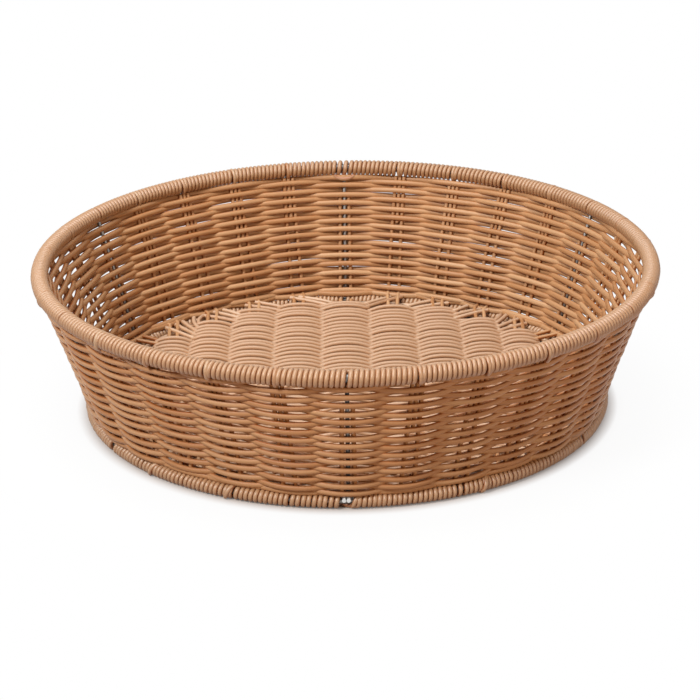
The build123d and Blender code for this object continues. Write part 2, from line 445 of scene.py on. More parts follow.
print("the wall faces", [round(v, 2) for v in facing_wall(Vector((1, 0, 0)))], "on the right")

# %% [markdown]
# ## The wire rings
# Both rings are round wire, bent and butt-welded, so each is a torus with a small bead where the
# ends meet. A bevelled curve would give the same ring; a torus also has its sections as loops of
# points, so the bead is made by scaling the loops at the weld in edit mode.

# %% Wire rings
RING_STEPS = 240
WIRE_SIDES = 12
WELD_BEAD = 1.18


def wire_ring(name, node, radius, z, wire, weld_place):
    deselect()
    bpy.ops.mesh.primitive_torus_add(
        major_radius=radius * MM, minor_radius=wire / 2 * MM, location=(0, 0, z * MM),
        major_segments=RING_STEPS, minor_segments=WIRE_SIDES,
    )
    ring = bpy.context.object
    bpy.ops.object.transform_apply(location=True)
    weld = on_circle(radius, place_angle(weld_place), z) * MM
    bpy.ops.object.mode_set(mode="EDIT")
    bpy.ops.mesh.select_all(action="DESELECT")
    bpy.ops.object.mode_set(mode="OBJECT")
    for vertex in ring.data.vertices:
        vertex.select = (vertex.co - weld).length < wire * MM
    bpy.ops.object.mode_set(mode="EDIT")
    bpy.ops.transform.resize(value=(WELD_BEAD, WELD_BEAD, WELD_BEAD), center_override=weld)
    bpy.ops.object.mode_set(mode="OBJECT")
    bpy.ops.object.shade_smooth()
    return finish_piece(name, [ring], STEEL, "steel", node)


def wire_of(node):
    low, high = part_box(node)
    return (high[2] - low[2]) / MM


TOP_WIRE = wire_of("top_ring")
BASE_WIRE = wire_of("base_ring")
wire_ring("top_wire_ring", "top_ring", RIM_R, RIM_Z, TOP_WIRE, weld_place=12.4)
wire_ring("base_wire_ring", "base_ring", FOOT_R, FOOT_Z, BASE_WIRE, weld_place=11.5)
print("rings of", round(TOP_WIRE, 2), "and", round(BASE_WIRE, 2), "mm wire")

# %% [markdown]
# ## The steel uprights
# Six straight wires run from ring to ring and are welded there. A straight wire needs no path, so each
# is a cylinder stood on the wall line, with its ends rounded by a bevel, as a weld leaves them.

# %% Uprights
UPRIGHT_WIRE = 2.5
UPRIGHT_SIDES = 16
END_ROUNDING = 0.5


def upright(number):
    place = (number - 1) * PLACES_PER_UPRIGHT
    foot = on_wall(place, FOOT_Z + BASE_WIRE / 2)
    head = on_wall(place, RIM_Z - TOP_WIRE / 2)
    axis = head - foot
    deselect()
    bpy.ops.mesh.primitive_cylinder_add(
        vertices=UPRIGHT_SIDES, radius=UPRIGHT_WIRE / 2 * MM, depth=axis.length * MM,
        location=(foot + head) / 2 * MM, rotation=axis.to_track_quat("Z", "Y").to_euler(),
    )
    wire = bpy.context.object
    bpy.ops.object.transform_apply(location=True, rotation=True)
    bevel = wire.modifiers.new("rounded_ends", "BEVEL")
    bevel.width = END_ROUNDING * MM
    bevel.segments = 2
    bpy.ops.object.modifier_apply(modifier=bevel.name)
    bpy.ops.object.shade_smooth_by_angle(angle=radians(40))
    return finish_piece(f"steel_upright_{number}", [wire], STEEL, "steel", f"upright_{number}")


for number in range(1, PLACES // PLACES_PER_UPRIGHT + 1):
    upright(number)
print("uprights:", number)

# %% [markdown]
# At the front the winding leaves the welded foot of an upright bare: two short wires hooked over the
# ring, seen from outside as two round ends. They are bent, so they are drawn along a path, as a cane
# is.

# %% Bare hooks at the front
HOOK_X = (-2.6, 0.1)
HOOK_FROM, HOOK_SWEEP = 150, 120  # degrees round the base ring
HOOK_TIP = Vector((0, -1.2, 0.3))
HOOK_STEPS = 8


def hook_points(x):
    """A short wire hooked over the base ring from inside to outside."""
    hold = (BASE_WIRE + UPRIGHT_WIRE) / 2
    points = []
    for share in shares(HOOK_STEPS):
        around = radians(HOOK_FROM - HOOK_SWEEP * share)
        r = FOOT_R + hold * cos(around)
        points.append(Vector((x, -r, FOOT_Z + hold * sin(around))))
    points.append(points[-1] + HOOK_TIP)
    return points


hooks = [strand("hook", hook_points(x), UPRIGHT_WIRE, WIRE_SIDES) for x in HOOK_X]
# Painted light: the hooks take the brighter copy of the steel.
finish_piece("bare_hooks", hooks, PAINTED_LIT_STEEL, "steel", "upright_4")
print("hooks:", len(HOOK_X))

# %% [markdown]
# ## The wall's two weavers
# With an even number of stakes, one weaver would pass every stake on the same side on every turn.
# So two canes chase each other: one passes outside the even stakes, the other outside the odd ones.
# Each turn lies level, and both climb two rows together over two spaces on the left-hand side.
# Closed rings, one for each row, would be simpler to draw, but no weaver could make them.
# A weaver swings out at one stake and in at the next, and wanders a little, as work by hand does.

# %% Weaver paths
ROWS = 28
FIRST_ROW_SINK = 0.6  # the first row lies this far below the top of the foot winding,
LAST_ROW_DROP = 0.8  # and the last this far below the rim winding
FIRST_ROW_Z = FOOT_TUBE - FIRST_ROW_SINK
LAST_ROW_Z = RIM_Z - RIM_TUBE / 2 - LAST_ROW_DROP
ROW_PITCH = (LAST_ROW_Z - FIRST_ROW_Z) / (ROWS - 1)
CLIMB_PLACE = 23  # a turn starts here, on the left
CLIMB_SPACES = 2
STEPS_PER_SPACE = 10
PRESSED_THIN = 0.88  # thickness of a pressed weaver, for a round one of 1
DRAWN_TIGHT = 0.3  # how far a weaver presses into what it lies on
WEAVE_OUT = (CANE + WEAVER * PRESSED_THIN) / 2 - DRAWN_TIGHT  # from a stake's axis to a weaver's
FLATNESS = 0.75  # higher runs flatter past a stake and crosses more steeply
TIGHT_AT_RIGHT = 0.22  # the right-hand side is drawn tighter, with fewer gaps
LOW_SWING = 0.4  # the lowest rows swing out less and lie on top of the foot winding
LOW_ROWS = 3
SWING_WANDER, ROW_WANDER = 0.2, 0.55  # how far a weaver wanders across the wall, and up and down
WANDER = random.Random(7)
WANDER_AT = [[WANDER.uniform(-1, 1) for _ in range(PLACES)] for _ in range(ROWS + 1)]


def wander(row, place):
    """A slow random value from -1 to 1 that changes from place to place along a row."""
    low = int(place // 1) % PLACES
    here, following = WANDER_AT[row][low], WANDER_AT[row][(low + 1) % PLACES]
    return ease(here, following, place % 1)


def swing(along, flatness):
    """1 at an even crossing and -1 at an odd one, flat there and steep between."""
    return tanh(flatness * cos(pi * along)) / tanh(flatness)


def rest_on_foot(point):
    """The point, raised if need be to lie on the foot winding."""
    aside = Vector((point.x, point.y, 0)).length - FOOT_R
    reach = (FOOT_TUBE + WEAVER) / 2 - DRAWN_TIGHT
    if abs(aside) < reach:
        point.z = max(point.z, FOOT_Z + (reach**2 - aside**2) ** 0.5)
    return point


def weaver_points(lead, first, last, last_turn):
    """Path of one weaver, from one space to another; lead is the row it starts on, -1 or 0."""
    side = 1 if lead == 0 else -1
    points = []
    for step in range(ceil(first * STEPS_PER_SPACE), int(last * STEPS_PER_SPACE) + 1):
        along = step / STEPS_PER_SPACE
        turn = max(int(along // PLACES), 0)
        climb = smooth((along - turn * PLACES - PLACES + CLIMB_SPACES) / CLIMB_SPACES)
        row = 2 * turn + lead + (0 if turn == last_turn else 2 * climb)
        place = along + CLIMB_PLACE
        weave = side * swing(place, FLATNESS)
        drift = wander(2 * turn + lead, place)
        out = weave * (WEAVE_OUT + SWING_WANDER * drift)
        out *= 1 - TIGHT_AT_RIGHT * max(cos(place_angle(place)), 0) ** 4
        if out > 0:
            out *= ease(LOW_SWING, 1, (row + 1) / LOW_ROWS)
        z = FIRST_ROW_Z + row * ROW_PITCH + ROW_WANDER * drift
        points.append(rest_on_foot(on_wall(place, z, out)))
    return points


print(f"row pitch {ROW_PITCH:.2f} mm, swing {WEAVE_OUT:.2f} mm")

# %% [markdown]
# The wall is beaten down hard, row on row, which presses its weavers wide and thin. The section could
# be drawn oval from the start, but a bevel turns about its path as it likes, so the round strand is
# pressed afterwards, square to the wall. Both weavers are one kind of cane: each tone changes slowly
# along it, so that no column of the wall is darker than the next.

# %% Weavers
PRESSED_WIDE = 1.27
PRESSED_AT_LEFT, PRESSED_AT_RIGHT = 0.08, 0.25  # wider still at the two sides
THINNER_AT_RIGHT = 0.3  # where the weavers are drawn tighter
FIRST_END, SECOND_END = 28.4, 29  # spaces that each weaver goes on in its last turn


def pressed_width(point):
    side = point.x**2 / (point.x**2 + point.y**2)
    return PRESSED_WIDE + (PRESSED_AT_RIGHT if point.x > 0 else PRESSED_AT_LEFT) * side**3


def pressed_thickness(point):
    return PRESSED_THIN - THINNER_AT_RIGHT * max(point.x / (point.x**2 + point.y**2) ** 0.5, 0) ** 4


def press(mesh, diameter, facing, width_at, thickness_at):
    """Makes a round strand's section oval: wider along the weave's surface and thinner across it."""
    radius = diameter / 2 * MM
    normals = [vertex.normal.copy() for vertex in mesh.vertices]
    for vertex, normal in zip(mesh.vertices, normals):
        across = facing(vertex.co)
        share = normal.dot(across)
        wide, thin = width_at(vertex.co), thickness_at(vertex.co)
        vertex.co += radius * ((thin - 1) * share * across + (wide - 1) * (normal - share * across))
    mesh.update()


def vary_tone(weaver):
    """Lets the tone change slowly along a weaver, so that neither looks darker than the other."""
    tones = [WANDER.random() for _ in range(2 * ROWS)]
    points_in_half_turn = SIDES * STEPS_PER_SPACE * PLACES / 2
    values = []
    for point in range(len(weaver.data.vertices)):
        half_turn, share = divmod(point / points_in_half_turn, 1)
        values.append(ease(tones[int(half_turn)], tones[int(half_turn) + 1], share))
    weaver.data.attributes["tone"].data.foreach_set("value", values)


last_even, last_odd = (ROWS - 1) // 2, ROWS // 2
first_points = weaver_points(0, -1, last_even * PLACES + FIRST_END, last_even)
second_points = weaver_points(-1, 0, last_odd * PLACES + SECOND_END, last_odd)
first_weaver = strand("first_weaver", first_points, WEAVER)
second_weaver = strand("second_weaver", second_points, WEAVER)
for weaver in (first_weaver, second_weaver):
    vary_tone(weaver)
    press(weaver.data, WEAVER, facing_wall, pressed_width, pressed_thickness)
    finish_piece(weaver.name, [weaver], WOVEN_CANE, "cane", "wall_weave", facing=facing_wall)
    print(weaver.name, triangles(weaver), "triangles")

# %% [markdown]
# ## The stakes
# Each stake is a pair of canes, apart at the foot and close at the rim. Its end goes over the top
# ring and is tucked back down between the two, so a third cane shows near the rim. Beside a steel
# upright there is no third cane, and the two stop a few rows below the rim. One stake could be copied
# round thirty times; each is drawn anew, with a lean and a tail of its own, so that none are alike.

# %% Stake paths
STAKE_LOW = 12.9  # where the bend over the foot ends
STAKE_HIGH = RIM_Z - RIM_TUBE / 2
FOOT_SPREAD = 7.7
HEAD_SPREAD = 5.9
UPRIGHT_SIDE_HIGH = 76.0
MOST_LEAN = 0.5
TAIL_LENGTH = 36.0
TAIL_SHORTEST, TAIL_LONGEST = 0.75, 1.1  # as shares of that length
TAIL_CANE = CANE * 0.98  # drawn thin by the bend over the rim
STAKE_STEPS = 24
BEND = random.Random(19)


def stake_spread(z):
    share = (z - FOOT_TUBE) / (STAKE_HIGH - FOOT_TUBE)
    return FOOT_SPREAD + (HEAD_SPREAD - FOOT_SPREAD) * share


def stake_cane(place, side, low, high, lean):
    """Points of one cane of a stake; lean bows it aside a little."""
    points = []
    for step in range(STAKE_STEPS + 1):
        z = low + (high - low) * step / STAKE_STEPS
        bow = lean * sin(pi * (z - STAKE_LOW) / (STAKE_HIGH - STAKE_LOW))
        points.append(on_wall(place, z, 0.0, side * stake_spread(z) / 2 + bow))
    return points


for place in range(PLACES):
    at_upright = place % PLACES_PER_UPRIGHT == 0
    high = UPRIGHT_SIDE_HIGH if at_upright else STAKE_HIGH
    lean = BEND.uniform(-MOST_LEAN, MOST_LEAN)
    if at_upright:
        lean = 0.0  # the wire keeps it straight
    canes = [strand("stake", stake_cane(place, side, STAKE_LOW, high, lean), CANE) for side in (-1, 1)]
    if not at_upright:
        top = RIM_Z - TOP_WIRE / 2
        low = top - TAIL_LENGTH * BEND.uniform(TAIL_SHORTEST, TAIL_LONGEST)
        canes.append(strand("tail", stake_cane(place, 0, low, top, lean), TAIL_CANE))
    node = f"stake_{place + 1:02d}"
    finish_piece(f"cane_{node}", canes, WOVEN_CANE, "cane", node, facing=facing_wall)
print("stakes:", PLACES)

# %% [markdown]
# ## The rim and foot windings
# One cane is wound round each ring, turn beside turn. At a stake the winding leaves a slit: there it
# moves on further, and does so on the under side, where it shows least. A torus with grooves painted
# on would be quicker, but the steel shows through the slits, so every turn is really wound.

# %% Winding paths
TURN_STEPS = 16
TURN_PITCH = WEAVER
STEP_SHARE = 0.35  # the part of a turn in which the cane crosses to the other side of a slit
SLITS = random.Random(23)


def turn_starts(radius, slits, spaced, unevenness):
    """Arc length at which each turn starts; slits has a width for each place, and spaced a gap after
    some of the turns.
    """
    space = 2 * pi * radius / PLACES
    starts = []
    for place in range(PLACES):
        gaps = spaced.get(place, {})
        free = space - (slits[place] + slits[(place + 1) % PLACES]) / 2 - sum(gaps.values())
        turns = round(free / TURN_PITCH)
        arc = place * space + slits[place] / 2
        for turn in range(turns):
            starts.append(arc + SLITS.uniform(-unevenness, unevenness))
            arc += free / turns + gaps.get(turn, 0.0)
    return starts + [starts[0] + PLACES * space]


def winding_points(radius, z, tube, starts, unevenness):
    """A cane wound round a level ring, one turn from each start to the next."""
    wrap = (tube - WEAVER) / 2
    points = []
    for arc, following in zip(starts, starts[1:]):
        pitch = min(following - arc, TURN_PITCH)
        gap = following - arc - pitch
        lift = SLITS.uniform(0, unevenness)
        for step in range(TURN_STEPS):
            share = step / TURN_STEPS
            here = arc + pitch * share + gap * smooth((share - 1 + STEP_SHARE) / STEP_SHARE)
            angle = pi / 2 - here / radius
            around = pi * (1.5 - STEP_SHARE) - 2 * pi * share
            r = radius + (wrap + lift) * cos(around)
            points.append(on_circle(r, angle, z + wrap * sin(around)))
    return points


def slit_widths(narrow, wide, at_uprights):
    """One slit width for each place, with a width of its own at the steel uprights."""
    return [
        at_uprights if place % PLACES_PER_UPRIGHT == 0 else SLITS.uniform(narrow, wide)
        for place in range(PLACES)
    ]


print("turns fit every", TURN_PITCH, "mm")

# %% [markdown]
# The rim is wound evenly, with its turns close. The foot is wound more loosely: it has a long bare
# stretch at the front, a short one at the front left, and a small gap beside every other stake. Turns
# could be moved by hand until they look right; a width for each slit and a list of gaps do the same,
# and the turns between them space themselves.

# %% Turns of the rim and the foot
RIM_WRAP = RIM_TUBE + 0.4  # across the rim winding, a little fuller than its solid
BACK_PLACE, FRONT_PLACE, LEFT_PLACE = 0, PLACES // 2, 20
BACK_SLIT, FRONT_SLIT, LEFT_SLIT = 1.0, 10.0, 5.0
BACK_GAP = 0.9  # after one turn on each side of the back slit
BACK_GAPS = {0: {0: BACK_GAP}, PLACES - 1: {10: BACK_GAP}}
FOOT_GAP = (0.4, 1.0)  # after the first or second turn beside a stake

rim_slits = slit_widths(narrow=2.2, wide=2.6, at_uprights=1.1)
rim_slits[BACK_PLACE] = BACK_SLIT
rim_starts = turn_starts(RIM_R, rim_slits, BACK_GAPS, unevenness=0.07)
rim_points = winding_points(RIM_R, RIM_Z, RIM_WRAP, rim_starts, unevenness=0.12)
foot_slits = slit_widths(narrow=0.1, wide=0.9, at_uprights=2.6)
foot_slits[FRONT_PLACE] = FRONT_SLIT
foot_slits[LEFT_PLACE] = LEFT_SLIT
foot_gaps = {place: {SLITS.choice((0, 1)): SLITS.uniform(*FOOT_GAP)} for place in range(1, PLACES, 2)}
foot_starts = turn_starts(FOOT_R, foot_slits, foot_gaps, unevenness=0.18)
foot_points = winding_points(FOOT_R, FOOT_Z, FOOT_TUBE, foot_starts, unevenness=0.35)
print("turns:", len(rim_starts) - 1, "on the rim,", len(foot_starts) - 1, "on the foot")

# %% [markdown]
# At the back a short cane closes the rim's winding: it passes under the rim from one side of the slit
# to the other. At the front of the foot the winding begins: the cane comes up slantwise beside the
# welded foot of the upright and leaves the steel bare there. Both could be bent into the winding's
# own path; as short canes of their own they are easier to place.

# %% Ends of the windings
TIE_HALF = 7.0  # half the length of the tie
TIE_IN, TIE_BOW = 4.0, 1.5  # inside the rim's centre line, and further in the middle
TIE_DROP, TIE_LIFT = 6.6, 2.2  # below the rim's centre line, and less at the ends
START_FROM, START_SWEEP = -120, 250  # degrees round the base ring
START_REACH = 3.3
START_X, START_SLANT = 0.8, 5.6
TIE_STEPS, START_STEPS = 12, 14


def rim_tie():
    """A short cane under the rim at the back, its ends tucked up into the winding."""
    points = []
    for share in shares(TIE_STEPS):
        side = 2 * share - 1
        y = RIM_R - TIE_IN - TIE_BOW * (1 - side**2)
        points.append(Vector((TIE_HALF * side, y, RIM_Z - TIE_DROP + TIE_LIFT * abs(side) ** 3)))
    return points


def foot_start():
    """The slanted first turn of the foot winding, beside the bare steel at the front."""
    points = []
    for share in shares(START_STEPS):
        around = radians(START_FROM + START_SWEEP * share)
        r = FOOT_R + START_REACH * cos(around)
        points.append(Vector((START_X + START_SLANT * share, -r, FOOT_Z + START_REACH * sin(around))))
    return points


rim_cane = strand("rim_cane", rim_points, WEAVER)
rim_end = strand("rim_tie", rim_tie(), CANE)
print("winding of the rim:", triangles(rim_cane), "triangles")

# %% [markdown]
# On the rim the end of every stake goes over the ring in its slit, and down inside. On the foot some
# ends go round the outside slantwise, over the winding. One end could be copied into every slit; each
# is a short cane of its own along an arc round the tube, with its own slant and drop, so that the
# slits don't look stamped.

# %% Stake ends on the rim and the foot
SLIT_SHIFT = 0.5  # on top of the rim a slit lies a little before its place
OVER_FROM, OVER_SWEEP = -65, 310  # degrees round the rim
OVER_LIFT, OVER_DROP = (0.1, 0.45), (0.3, 1.0)  # out of the winding, and down at the bottom
OVER_SLANT = 1.2
LOOP_PLACES = (17.1, 18.75, 12.6, 22.3, 7.4, 26.2, 3.3)
LOOP_FROM, LOOP_SWEEP = 120, 225  # degrees round the foot
LOOP_REACH, LOOP_TUCK = 4.5, 0.7  # from the foot's centre line, and less at the two ends
LOOP_SLANT = 0.22  # in places
OVER_STEPS, LOOP_STEPS = 18, 14


def turnover(place):
    """The end of a stake, turned over the rim in the slit of the winding."""
    reach = (RIM_WRAP - WEAVER) / 2 + SLITS.uniform(*OVER_LIFT)
    slant, drop = SLITS.uniform(-OVER_SLANT, OVER_SLANT), SLITS.uniform(*OVER_DROP)
    points = []
    for share in shares(OVER_STEPS):
        around = radians(OVER_FROM + OVER_SWEEP * share)
        angle = place_angle(place) + (SLIT_SHIFT + slant * (share - 0.5)) / RIM_R
        r = RIM_R + reach * cos(around)
        z = RIM_Z + reach * sin(around) - drop * (1 - sin(around))
        points.append(on_circle(r, angle, z))
    return points


def foot_loop(place):
    """A stake end that goes slantwise round the outside of the foot winding."""
    points = []
    for share in shares(LOOP_STEPS):
        around = radians(LOOP_FROM - LOOP_SWEEP * share)
        reach = LOOP_REACH - LOOP_TUCK * abs(2 * share - 1)
        angle = place_angle(place + LOOP_SLANT * (share - 0.5))
        r = FOOT_R + reach * cos(around)
        z = max(FOOT_Z + reach * sin(around), CANE / 2)
        points.append(on_circle(r, angle, z))
    return points


def facing_out_of(radius, z):
    """A function for the direction out of a ring's centre line."""

    def facing(point):
        centre = Vector((point.x, point.y, 0)).normalized() * radius * MM
        centre.z = z * MM
        return (point - centre).normalized()

    return facing


turned = [place for place in range(PLACES) if place % PLACES_PER_UPRIGHT]
turnovers = [strand("turnover", turnover(place), CANE) for place in turned]
foot_cane = strand("foot_cane", foot_points, WEAVER)
foot_end = strand("foot_start", foot_start(), CANE)
out_of_rim, out_of_foot = facing_out_of(RIM_R, RIM_Z), facing_out_of(FOOT_R, FOOT_Z)
rim_canes = [rim_cane, rim_end] + turnovers
finish_piece("rim_cane", rim_canes, WOUND_CANE, "cane", "rim_winding", facing=out_of_rim)
foot_loops = [strand("foot_loop", foot_loop(place), CANE) for place in LOOP_PLACES]
foot_canes = [foot_cane, foot_end] + foot_loops
finish_piece("foot_cane", foot_canes, WOUND_CANE, "cane", "foot_winding", facing=out_of_foot)
for piece in (rim_cane, foot_cane):
    print(piece.name, triangles(piece), "triangles")

# %% [markdown]
# ## The base sticks
# The stakes' canes come down the wall, bend in over the foot winding and cross the base as sticks,
# nine pairs from front to back. The base hangs a little lower than the winding, so a stick first
# drops. The middle pair starts at the steel upright instead, inside the winding. Half a stick is
# worked out and mirrored, so front and back always meet in the middle.

# %% Base stick paths
LONG_STICKS = range(-4, 5)
WEAVE_R = 140.0
EDGE_IN = 6.0  # a stick is level from this far inside the weave's edge
DRAW_IN = 0.965  # the sticks draw together under the weave
WEAVE_SPREAD = 5.4
STICK_END_IN, STICK_END_DROP = 1.2, 0.8  # of the middle pair, from the foot winding
STICK_END_R = FOOT_R - FOOT_TUBE / 2 - STICK_END_IN
BEND_STEPS, RUN_STEPS = 6, 6
BEND_REACH = 5.0  # from the bend's corner to where it is level


def facing_up(point):
    return Vector((0, 0, 1))


def weave_half_length(x):
    return (WEAVE_R**2 - x**2) ** 0.5


def bent(start, knee, end, steps):
    """Points of a smooth bend from start to end, drawn towards a knee."""
    return [start.lerp(knee, t).lerp(knee.lerp(end, t), t) for t in shares(steps)]


def mirrored(points, x=1, y=1):
    return [Vector((p.x * x, p.y * y, p.z)) for p in points]


def stake_bend(place, side):
    """Points from the wall's foot round the bend to level, for one cane of a stake."""
    corner = on_wall(place, BEND_Z, 0.0, side * FOOT_SPREAD / 2)
    up = on_wall(place, STAKE_LOW, 0.0, side * FOOT_SPREAD / 2)
    inward = Vector((-corner.x, -corner.y, 0)).normalized()
    return bent(up, corner, corner + inward * BEND_REACH, BEND_STEPS)


def run_level(start, end):
    """Points after start on the way to end, eased at both ends."""
    return [start.lerp(end, smooth(t)) for t in shares(RUN_STEPS)[1:]]


def half_stick(place, side):
    """Points from the wall's foot at the back to the middle of the base."""
    angle = place_angle(place)
    x = FOOT_R * cos(angle) * DRAW_IN + side * WEAVE_SPREAD / 2
    edge = Vector((x, weave_half_length(abs(x)) - EDGE_IN, STICK_Z))
    if place == 0:
        bend = [Vector((side * FOOT_SPREAD / 2, STICK_END_R, STICK_Z - STICK_END_DROP))]
    else:
        bend = stake_bend(place, -side)
    return bend + run_level(bend[-1], edge) + [Vector((x, 0, STICK_Z))]


def long_stick(number, place):
    canes = []
    for side in (-1, 1):
        back = half_stick(place, side)
        front = mirrored(reversed(back[:-1]), y=-1)
        canes.append(strand("stick", back + front, CANE))
    node = f"base_stick_{number}"
    return finish_piece(f"cane_{node}", canes, WOVEN_CANE, "cane", node, facing=facing_up)


for number, place in enumerate(LONG_STICKS, start=1):
    long_stick(number, place)
print("base sticks:", number)

# %% [markdown]
# ## The side sticks
# The stakes at the two sides have no stick across the base. Their canes bend in as well and end
# under the edge of the weave, against the outermost stick. A Mirror modifier could make the left side
# from the right; mirrored paths do it before there is a mesh, and every cane keeps its own tone.

# %% Side stick paths
SIDE_PLACES = range(5, 11)
OUTER_STICK_X = FOOT_R * cos(place_angle(LONG_STICKS[-1])) * DRAW_IN
SIDE_END_OUT, SIDE_END_RISE = 5.6, 0.6  # from the outermost stick's axis
SIDE_TURN = 0.95  # the side sticks draw together a little


def side_stick(place, side, mirror):
    bend = stake_bend(place, side)
    end = Vector((OUTER_STICK_X + SIDE_END_OUT, bend[-1].y * SIDE_TURN, STICK_Z + SIDE_END_RISE))
    return mirrored(bend + run_level(bend[-1], end), x=mirror)


for hand, mirror in (("right", 1), ("left", -1)):
    canes = [
        strand("side", side_stick(place, side, mirror), CANE)
        for place in SIDE_PLACES
        for side in (-1, 1)
    ]
    node = f"side_sticks_{hand}"
    finish_piece(f"cane_{node}", canes, WOVEN_CANE, "cane", node, facing=facing_up)
print("canes in the side sticks:", 2 * len(canes))

# %% [markdown]
# ## The base weave
# Rows of cane cross the sticks, over one and under the next, each row the other way from its
# neighbour. A row ends halfway to the next stick, turns there and comes back as the next row, so
# the whole base is one long cane laid to and fro. A plate with a woven bump would be lighter, but
# flat at its edge and closed; here light falls between the rows.

# %% Base weave path
BASE_ROW_PITCH = 3.2
STICK_X = [FOOT_R * cos(place_angle(place)) * DRAW_IN for place in LONG_STICKS]
ROWS_BACK = (25, 35, 41, 44, 45, 42, 41, 35, 27)  # from the middle to the end of each stick's column
BASE_SLACK = 0.2  # the base is woven loosely
BASE_OUT = (CANE + WEAVER) / 2 + BASE_SLACK  # from a stick's axis to a row's
BASE_FLATNESS = 1.0
STEPS_PER_STICK = 9
PAST_STICK = 0.46  # how far a row goes past its last stick, as a share of the space
TURN_OUT = 1.2  # how far a turn stands out past its row
SWAY_ALONG, SWAY_UP = 0.45, 0.25  # how far a row wanders from front to back, and up and down
BASE_WANDER = random.Random(3)


def row_span(row):
    """First and last stick that a row crosses."""
    crossed = [i for i, rows in enumerate(ROWS_BACK) if abs(row) <= rows]
    return crossed[0], crossed[-1]


def stick_x(index):
    """X at a stick's index from 0 to 8, or between two sticks, or past the last."""
    i = min(max(int(index), 0), len(STICK_X) - 2)
    return STICK_X[i] + (STICK_X[i + 1] - STICK_X[i]) * (index - i)


def base_path():
    """The whole cane of the base, row after row from front to back."""
    points = []
    rows = max(ROWS_BACK)
    for number, row in enumerate(range(-rows, rows + 1)):
        first, last = row_span(row)
        start, length = first - PAST_STICK, last - first + 2 * PAST_STICK
        steps = ceil(length * STEPS_PER_STICK)
        walk = [start + i * length / steps for i in range(steps + 1)]
        if number % 2:
            walk.reverse()
        sway = [BASE_WANDER.uniform(-1, 1) for _ in range(len(STICK_X) + 2)]
        side = 1 if row % 2 else -1
        for index in walk:
            i = int(index + 1)
            drift = ease(sway[i], sway[i + 1], index + 1 - i)
            rise = side * swing(index, BASE_FLATNESS) * BASE_OUT
            y = row * BASE_ROW_PITCH + SWAY_ALONG * drift
            points.append(Vector((stick_x(index), y, STICK_Z + rise + SWAY_UP * drift)))
        end = points[-1]
        out = 1 if end.x > 0 else -1
        points.append(Vector((end.x + out * TURN_OUT, end.y + BASE_ROW_PITCH / 2, STICK_Z)))
    return points


base_cane = strand("base_cane", base_path(), WEAVER)
print("rows of the base:", 2 * max(ROWS_BACK) + 1)

# %% [markdown]
# Where the outline steps in, between two sticks, row ends leave the weave side by side and run out to
# the next stake, under the lowest row of the wall: two of them, or more where the step is long. They
# fill the open fringe round the base. They could be laid one by one by eye; a bend from a start to an
# end, drawn towards a knee, is enough for each. Under the canes that bend in, one more cane lies all
# round against the foot winding.

# %% Row ends
MIDDLE = len(ROWS_BACK) // 2  # index of the middle stick
ROW_END_PAST = 0.2  # past the inner stick, as a share of the space
FIRST_END_ROW, ROWS_PER_END = 0.7, 2.1  # where row ends leave, counted from the shorter column's end
ROW_END_PLACES = 0.24  # between two row ends at the wall
ROW_END_WANDER = 0.06
ROW_END_RISE = (1.2, 3.0)  # of its end at the wall, above the sticks
ROW_END_STEPS = 12
KNEE = Vector((8.0, 1.5, 3.6))  # from a row end's start
START_DROP = 1.0
TUCK_R = FOOT_R - FOOT_TUBE / 2
CORNER_STEPS = 4  # in each space
CORNER_OVERLAP = 2  # steps


def row_end(inner, number, hand, back):
    """Points of one row end that leaves the weave behind a stick, counted from the middle."""
    outer_rows = ROWS_BACK[MIDDLE + hand * (inner + 1)]
    x = stick_x(MIDDLE + ROW_END_PAST + inner)
    y = (outer_rows + FIRST_END_ROW + ROWS_PER_END * number) * BASE_ROW_PITCH
    wander_aside = BASE_WANDER.uniform(-ROW_END_WANDER, ROW_END_WANDER)
    angle = place_angle(inner + 1 + ROW_END_PAST - ROW_END_PLACES * number + wander_aside)
    start = Vector((x, y, STICK_Z - START_DROP))
    end = on_circle(TUCK_R, angle, STICK_Z + BASE_WANDER.uniform(*ROW_END_RISE))
    return mirrored(bent(start, start + KNEE, end, ROW_END_STEPS), x=hand, y=back)


def corner_cane():
    """A cane laid round inside the foot winding, under the bent canes."""
    steps = CORNER_STEPS * PLACES + CORNER_OVERLAP
    angles = [place_angle(step / CORNER_STEPS) for step in range(steps + 1)]
    return [on_circle(TUCK_R - WEAVER / 2, angle, FOOT_Z) for angle in angles]


def ends_at_step(inner, hand):
    step = ROWS_BACK[MIDDLE + hand * inner] - ROWS_BACK[MIDDLE + hand * (inner + 1)]
    return max(step // 2, 2)


row_ends = [
    strand("row_end", row_end(inner, number, hand, back), WEAVER)
    for inner in range(MIDDLE)
    for hand in (-1, 1)
    for number in range(ends_at_step(inner, hand))
    for back in (-1, 1)
]
base_canes = [base_cane, strand("corner_cane", corner_cane(), WEAVER)] + row_ends
finish_piece("base_cane", base_canes, BASE_CANE, "cane", "base_weave", facing=facing_up)
print("base cane:", triangles(base_cane), "triangles, row ends:", len(row_ends))

# %% [markdown]
# ## The floor
# The basket stands on a white sweep. A white floor lit by the lamps alone would be grey in places, so
# where the camera looks it glows evenly white. Right under the basket it keeps the lamps' shade, and
# there it is also painted a darker, warm brown: painted shade, tinted as if by light off the cane.
# What it throws back at the basket is warm and weak.

# %% Floor
FLOOR_SIZE = 6.0
FLOOR_WHITE = (0.9, 0.9, 0.9, 1)
BOUNCE = (0.32, 0.19, 0.11, 1)  # what the floor throws back at the basket
